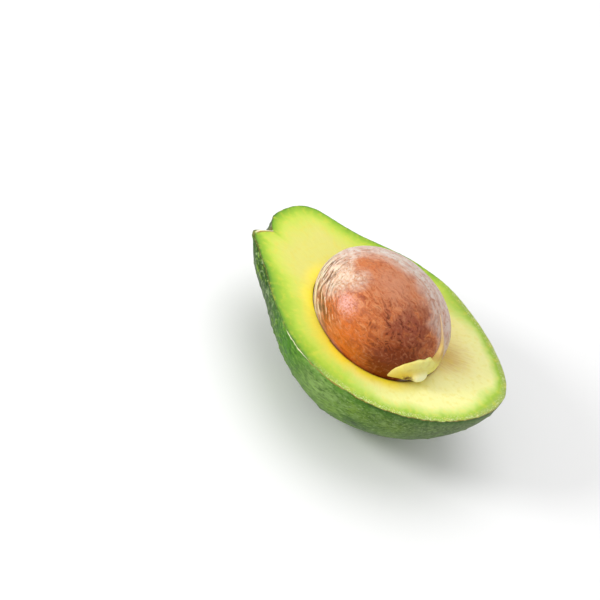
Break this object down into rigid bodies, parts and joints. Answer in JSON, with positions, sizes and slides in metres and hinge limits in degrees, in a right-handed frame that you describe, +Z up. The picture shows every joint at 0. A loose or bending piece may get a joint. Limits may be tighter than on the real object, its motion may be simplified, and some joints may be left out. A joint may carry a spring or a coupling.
{
  "type": "avocado half",
  "caption": "Half an avocado cut lengthways: pear-shaped flesh in its green skin, cut face up, with the egg-shaped pit seated in its hollow, resting on the round belly.",
  "frame": {"origin": "middle of the small flat spot under the belly that the half rests on", "axes": "+Z up, square to the level cut face; +X along the fruit towards the round blossom end, the stem end at -X; +Y across it"},
  "size_m": [0.11, 0.077, 0.0618],
  "materials": {
    "flesh_and_skin": "satin",
    "pit": "satin"
  },
  "bodies": {
    "root": {"avocado_half": "flesh_and_skin", "pit": "pit"}
  },
  "joints": []
}
